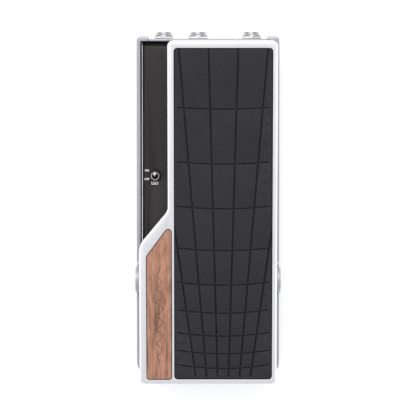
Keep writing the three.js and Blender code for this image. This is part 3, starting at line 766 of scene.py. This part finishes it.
def makeJack(name):
    node = f"{name}_jack"
    jack = copyNode(node)
    roundEdges(jack, jackShape["edge"], 2)
    low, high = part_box(node)
    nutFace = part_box(f"{name}_jack_nut")[1].y
    axisX, axisZ = (low.x + high.x) / 2, (low.z + high.z) / 2
    dress(jack, "blackPlastic", node)
    jack.data.materials.append(finishes["chrome"])
    noseRadius = jackShape["noseRadius"] * mm
    boreRadius = jackShape["boreRadius"] * mm
    noseLimit = noseRadius + jackShape["noseMargin"] * mm
    for face in jack.data.polygons:
        reach = math.hypot(face.center.x - axisX, face.center.z - axisZ)
        beyondWall = face.center.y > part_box("toe_wall")[1].y - jackShape["noseReach"] * mm
        face.material_index = 1 if beyondWall and boreRadius < reach < noseLimit else 0
    rings = []
    for turn in range(jackShape["threads"]):
        y = nutFace + (jackShape["firstThread"] + turn * jackShape["pitch"]) * mm
        pickNothing()
        bpy.ops.mesh.primitive_torus_add(location=(axisX, y, axisZ), rotation=(math.pi / 2, 0, 0),
                                         major_radius=noseRadius - jackShape["ridgeSunk"] * mm,
                                         minor_radius=jackShape["ridge"] * mm,
                                         major_segments=48, minor_segments=8)
        ring = bpy.context.object
        settle(ring)
        rings.append(ring)
    thread = joinAll(f"{name}JackThread", rings)
    pick(thread)
    bpy.ops.object.shade_smooth()
    addTo(thread, "chrome", node)
    centre = (axisX / mm, high.y / mm - contactShape["behindTip"], axisZ / mm + contactShape["rise"])
    contact = cubeAt(centre, (contactShape["width"], contactShape["length"], contactShape["thickness"]))
    selectFaces(contact, lambda face: face.normal.y > 0.9)
    for forwards, up in contactShape["bends"]:
        bpy.ops.mesh.extrude_region_move(TRANSFORM_OT_translate={"value": (0, forwards * mm, up * mm)})
    bpy.ops.object.mode_set(mode="OBJECT")
    roundEdges(contact, contactShape["edge"], 2)
    contact.name = f"{name}JackContact"
    addTo(contact, "brass", node)


for name in ("first", "second", "third"):
    makeJack(name)
print("jacks finished")


# circuit board with its parts

boardParts = {
    "boardEdge": 0.2,
    "chip": {"size": (7.6, 10.2, 2.6), "rise": 0.5, "edge": 0.35, "at": [(-14, 52), (-14, 74), (6, 60)]},
    "leg": {"size": (0.9, 0.5, 1.8), "perSide": 4, "pitch": 2.5, "out": 0.3, "rise": 0.9, "edge": 0.08},
    "tin": {
        "radius": 3.1, "height": 6.5, "rim": 0.5, "dip": 0.2, "edge": 0.25,
        "at": [(22, 44), (22, 56), (-26, 90), (28, 84)],
    },
    "film": {"size": (7.2, 2.6, 5.2), "rise": 0.3, "edge": 0.5, "at": [(4, 88), (4, 94), (16, 72)]},
}


def chipWithLegs(x, y, top, number):
    chip, leg = boardParts["chip"], boardParts["leg"]
    width, length, height = chip["size"]
    body = cubeAt((x, y, top + chip["rise"] + height / 2), chip["size"])
    roundEdges(body, chip["edge"], 2)
    legs = []
    for side in (-1, 1):
        for place in range(leg["perSide"]):
            legX = x + side * (width / 2 + leg["out"])
            legY = y + (place - (leg["perSide"] - 1) / 2) * leg["pitch"]
            legs.append(cubeAt((legX, legY, top + leg["rise"]), leg["size"]))
    pins = joinAll(f"chipLegs{number}", legs)
    roundEdges(pins, leg["edge"], 1)
    addTo(pins, "solder", "circuit_board")
    return body


def tinCan(x, y, top):
    tin = boardParts["tin"]
    can = barAt((x, y, top + tin["height"] / 2), tin["radius"], tin["height"])
    selectFaces(can, lambda face: face.normal.z > 0.9)
    bpy.ops.mesh.inset(thickness=tin["rim"] * mm)
    bpy.ops.mesh.extrude_region_move(TRANSFORM_OT_translate={"value": (0, 0, -tin["dip"] * mm)})
    bpy.ops.object.mode_set(mode="OBJECT")
    roundEdges(can, tin["edge"], 2)
    return can


def filmBlock(x, y, top):
    film = boardParts["film"]
    block = cubeAt((x, y, top + film["rise"] + film["size"][2] / 2), film["size"])
    roundEdges(block, film["edge"], 3)
    return block


def makeBoard():
    board = copyNode("circuit_board")
    roundEdges(board, boardParts["boardEdge"], 2)
    dress(board, "board", "circuit_board")
    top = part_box("circuit_board")[1].z / mm

    chips = [chipWithLegs(x, y, top, index + 1) for index, (x, y) in enumerate(boardParts["chip"]["at"])]
    addTo(joinAll("boardChips", chips), "blackPlastic", "circuit_board")
    cans = [tinCan(x, y, top) for x, y in boardParts["tin"]["at"]]
    addTo(joinAll("boardCans", cans), "chrome", "circuit_board")
    films = [filmBlock(x, y, top) for x, y in boardParts["film"]["at"]]
    addTo(joinAll("boardFilms", films), "nylon", "circuit_board")


makeBoard()
print("circuit board finished")


# light bars: a clear lens with a row of small lights under it

lightShape = {
    "edge": 0.6, "spacing": 9, "endMargin": 2,
    "chip": (1.8, 1.8, 0.35), "rise": 0.3, "chipEdge": 0.1,
}


def makeLightBar(node):
    bar = copyNode(node)
    roundEdges(bar, lightShape["edge"], 3)
    dress(bar, "clearPlastic", node)
    low, high = localBox(node, deckPlace)
    x = (low.x + high.x) / 2 / mm
    chips = []
    y = low.y / mm + lightShape["spacing"] / 2
    while y < high.y / mm - lightShape["endMargin"]:
        chip = cubeAt((x, y, low.z / mm + lightShape["rise"]), lightShape["chip"], deckPlace)
        roundEdges(chip, lightShape["chipEdge"], 2)
        chips.append(chip)
        y += lightShape["spacing"]
    addTo(joinAll(camelName(node) + "Chips", chips), "ledChip", node)


makeLightBar("left_light_bar")
makeLightBar("right_light_bar")
print("light bars finished")


# tread pad: a rubber slab with long grooves that fan out to the toe, and bowed cross grooves

padShape = {
    "corner": 2.0, "edge": 0.45, "middle": 10.9, "grooveEdge": 0.12, "grooveAngle": 50,
    "grooveWidth": 1.3, "grooveDepth": 1.5, "toeSpacing": 21.2, "heelSpacing": 7.9,
    "heelMargin": 1.7, "pastToe": 3, "longSteps": (-2.5, -1.5, -0.5, 0.5, 1.5, 2.5),
    "crossWidth": 0.85, "crossMargin": 1.8, "crossHeight": 1.8, "crossCuts": 15,
    "toeBow": 0.85, "heelBow": 2.9,
    "crossPlaces": (7.6, 18.3, 31.3, 48.1, 68.5, 93.5, 123.8, 155.9, 195.0),  # from the heel edge
}


def longGrooves(low, high):
    top = high.z / mm
    depth = padShape["grooveDepth"]
    heel, toe = low.y / mm + padShape["heelMargin"], high.y / mm + padShape["pastToe"]
    cutters = []
    for step in padShape["longSteps"]:
        heelX = padShape["middle"] + step * padShape["heelSpacing"]
        toeX = padShape["middle"] + step * padShape["toeSpacing"]
        lean = math.atan2(toeX - heelX, toe - heel)
        length = math.hypot(toeX - heelX, toe - heel)
        place = Matrix.Translation((heelX * mm, heel * mm, 0)) @ Matrix.Rotation(-lean, 4, "Z")
        cutters.append(cubeAt((0, length / 2, top), (padShape["grooveWidth"], length, 2 * depth), place))
    return joinAll("longGrooves", cutters)


def crossGrooves(low, high):
    top = high.z / mm
    middle = (low.x + high.x) / 2 / mm
    half = (high.x - low.x) / 2 / mm - padShape["crossMargin"]
    length = (high.y - low.y) / mm
    cutters = []
    for place in padShape["crossPlaces"]:
        bow = padShape["heelBow"] + (padShape["toeBow"] - padShape["heelBow"]) * place / length
        height = padShape["crossHeight"] * padShape["grooveDepth"]
        cutter = cubeAt((0, 0, 0), (2 * half, padShape["crossWidth"], height))
        pick(cutter)
        bpy.ops.object.mode_set(mode="EDIT")
        bpy.ops.mesh.select_all(action="SELECT")
        bpy.ops.mesh.subdivide(number_cuts=padShape["crossCuts"])
        bpy.ops.object.mode_set(mode="OBJECT")
        for vertex in cutter.data.vertices:
            across = vertex.co.x / (half * mm)
            vertex.co.y += bow * across ** 2 * mm
        settle(cutter, Matrix.Translation((middle * mm, low.y + place * mm, top * mm)))
        cutters.append(cutter)
    return joinAll("crossGrooves", cutters)


def makeTreadPad():
    low, high = localBox("tread_pad", treadPlace)
    size = [(high[axis] - low[axis]) / mm for axis in range(3)]
    centre = [(high[axis] + low[axis]) / 2 / mm for axis in range(3)]
    pad = cubeAt(centre, size)
    pad.name = "treadPad"
    selectEdges(pad, lambda first, last: abs(first.z - last.z) > 0.1 * mm)
    bpy.ops.mesh.bevel(offset=padShape["corner"] * mm, segments=6)
    bpy.ops.object.mode_set(mode="OBJECT")
    selectEdges(pad, lambda first, last: min(first.z, last.z) > high.z - 0.01 * mm)
    bpy.ops.mesh.bevel(offset=padShape["edge"] * mm, segments=3)
    bpy.ops.object.mode_set(mode="OBJECT")
    cutAway(pad, longGrooves(low, high))
    cutAway(pad, crossGrooves(low, high))
    cleanMesh(pad)
    roundEdges(pad, padShape["grooveEdge"], 2, padShape["grooveAngle"])
    settle(pad, treadPlace)
    dress(pad, "treadRubber", "tread_pad")


makeTreadPad()
print("tread pad finished")


# wood inlay with a plain burnt flourish

inlayEdge = 0.3
flourish = {
    "loops": 7, "swing": 2.6, "loop": 0.9, "start": -58, "end": 12, "middle": -35.4,
    "line": 0.32, "flatten": 0.25, "points": 220,
}


def makeInlay():
    inlay = copyNode("wood_inlay")
    roundEdges(inlay, inlayEdge, 3)
    dress(inlay, "walnut", "wood_inlay")

    top = localBox("wood_inlay", treadPlace)[1].z
    pickNothing()
    bpy.ops.curve.primitive_nurbs_path_add(location=(0, 0, 0))
    line = bpy.context.object
    line.data.splines.clear()
    spline = line.data.splines.new("POLY")
    spline.points.add(flourish["points"])
    for index, point in enumerate(spline.points):
        share = index / flourish["points"]
        angle = 2 * math.pi * flourish["loops"] * share
        fade = math.sin(math.pi * share) ** 0.5
        along = flourish["start"] + (flourish["end"] - flourish["start"]) * share
        y = along + flourish["loop"] * fade * math.sin(angle)
        x = flourish["middle"] + flourish["swing"] * fade * math.cos(angle)
        point.co = (x * mm, y * mm, 0, 1)
    line.data.dimensions = "3D"
    line.data.bevel_depth = flourish["line"] / 2 * mm
    line.data.bevel_resolution = 2
    line.data.use_fill_caps = True
    pick(line)
    bpy.ops.object.convert(target="MESH")
    line = bpy.context.object
    line.name = "inlayFlourish"
    line.scale = (1, 1, flourish["flatten"])
    settle(line)
    settle(line, treadPlace @ Matrix.Translation((0, 0, top)))
    addTo(line, "burntLine", "wood_inlay")


makeInlay()
print("wood inlay finished")


# printed words beside the toggle

printMarks = {
    "thickness": 0.03, "bold": 0.09, "lift": 0.04,
    "words": (("ON", -44.7, 26.5, 2.0), ("OFF", -44.8, 20.1, 2.0), ("LED", -38.9, 17.2, 3.0)),
}


def makePrint():
    marks = []
    for word, x, y, size in printMarks["words"]:
        pickNothing()
        bpy.ops.object.text_add(location=(0, 0, 0))
        text = bpy.context.object
        text.data.body = word
        text.data.size = size * mm
        text.data.offset = printMarks["bold"] * mm
        text.data.extrude = printMarks["thickness"] * mm
        text.data.align_x = "CENTER"
        text.data.align_y = "CENTER"
        pick(text)
        bpy.ops.object.convert(target="MESH")
        mark = bpy.context.object
        settle(mark, deckPlace @ Matrix.Translation((x * mm, y * mm, printMarks["lift"] * mm)))
        marks.append(mark)
    addTo(joinAll("panelPrint", marks), "whitePrint", "housing")


makePrint()
print("print on the panel finished")


# floor

floorLook = {"size": 6, "glow": 0.22}

pickNothing()
bpy.ops.mesh.primitive_grid_add(x_subdivisions=4, y_subdivisions=4, size=floorLook["size"])
floor = bpy.context.object
floor.name = "floor"
paint(floor, "paleFloor")
floorTree = finishes["paleFloor"].node_tree
floorShader = floorTree.nodes["Principled BSDF"]
floorShader.inputs["Emission Color"].default_value = (1, 1, 1, 1)
floorShader.inputs["Emission Strength"].default_value = floorLook["glow"]
fromAbove = mathNode(floorTree, "SUBTRACT", 1.0, addNode(floorTree, "NewGeometry").outputs["Backfacing"])
floorTree.links.new(fromAbove, floorShader.inputs["Alpha"])  # seen from below, the floor is clear

bpy.context.view_layer.update()
